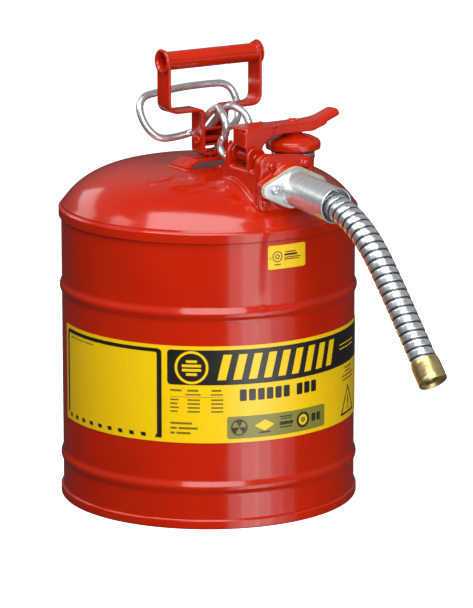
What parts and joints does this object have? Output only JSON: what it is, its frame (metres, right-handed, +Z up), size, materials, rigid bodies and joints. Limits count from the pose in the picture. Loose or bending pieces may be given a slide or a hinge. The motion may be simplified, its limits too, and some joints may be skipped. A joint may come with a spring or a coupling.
{
  "type": "safety gas can",
  "caption": "Round steel safety gas can with a squeeze trigger under a carrying grip, a lever-closed fill cap and a flexible metal pouring hose.",
  "frame": {"origin": "centre of the can's round base, at the floor", "axes": "+Z up along the can's axis; the spout and hose point along -Y; the grip runs along X"},
  "size_m": [0.2984, 0.5318, 0.4554],
  "materials": {
    "red_enamel": "gloss",
    "zinc_plate": "bright zinc",
    "plain_steel": "satin",
    "brass": "satin",
    "black_rubber": "matte",
    "tan_fibre": "matte",
    "label_film": "gloss"
  },
  "bodies": {
    "can": {"body_shell": "red_enamel", "bottom_head": "red_enamel", "dome_bracket": "red_enamel", "fill_arrester": "plain_steel", "fill_neck": "zinc_plate", "flange_bolt_1": "zinc_plate", "flange_bolt_2": "zinc_plate", "front_plate": "red_enamel", "grip_tube": "red_enamel", "handle_rivet_1": "red_enamel", "handle_rivet_2": "red_enamel", "handle_strap": "red_enamel", "hose": "zinc_plate", "hose_ferrule": "brass", "hose_gland": "plain_steel", "lever_hinge_pin": "plain_steel", "lever_spring": "plain_steel", "main_label": "label_film", "manifold_body": "red_enamel", "plate_gasket": "black_rubber", "plate_screw_1": "red_enamel", "plate_screw_2": "red_enamel", "plate_screw_3": "red_enamel", "plate_screw_4": "red_enamel", "pour_arrester": "plain_steel", "small_label": "label_film", "spout_gasket": "tan_fibre", "spout_sleeve": "zinc_plate", "top_dome": "red_enamel", "trigger_pivot_pin": "zinc_plate", "valve_cage": "plain_steel", "valve_guide": "plain_steel", "valve_seat": "plain_steel", "valve_spring": "plain_steel"},
    "trigger": {"trigger_wire": "zinc_plate", "trigger_saddle": "red_enamel"},
    "valve": {"valve_link": "zinc_plate", "valve_stem": "plain_steel", "valve_arm": "plain_steel", "valve_poppet": "plain_steel", "poppet_seal": "black_rubber"},
    "fill_lever_body": {"fill_lever": "red_enamel", "fill_cap": "red_enamel", "cap_gasket": "black_rubber", "cap_rivet": "red_enamel"}
  },
  "joints": [
    {"name": "trigger_hinge", "type": "hinge", "parent": "can", "child": "trigger", "pos_m": [0, -0.0035, 0.3612], "axis": [1, 0, 0], "range_deg": [0, 12], "stiffness_Nm_per_rad": 4, "springref_deg": -14.32},
    {"name": "valve_slide", "type": "slide", "parent": "can", "child": "valve", "axis": [0, 0, -1], "range_m": [0, 0.0104], "deforming": ["valve_spring"]},
    {"name": "fill_lever_hinge", "type": "hinge", "parent": "can", "child": "fill_lever_body", "pos_m": [-0.016, -0.092, 0.3595], "axis": [0, -1, 0], "range_deg": [0, 80], "stiffness_Nm_per_rad": 0.5, "springref_deg": -28.65}
  ],
  "couplings": [
    {"joint": "valve_slide", "follows": "trigger_hinge", "m_per_rad": 0.0487}
  ]
}
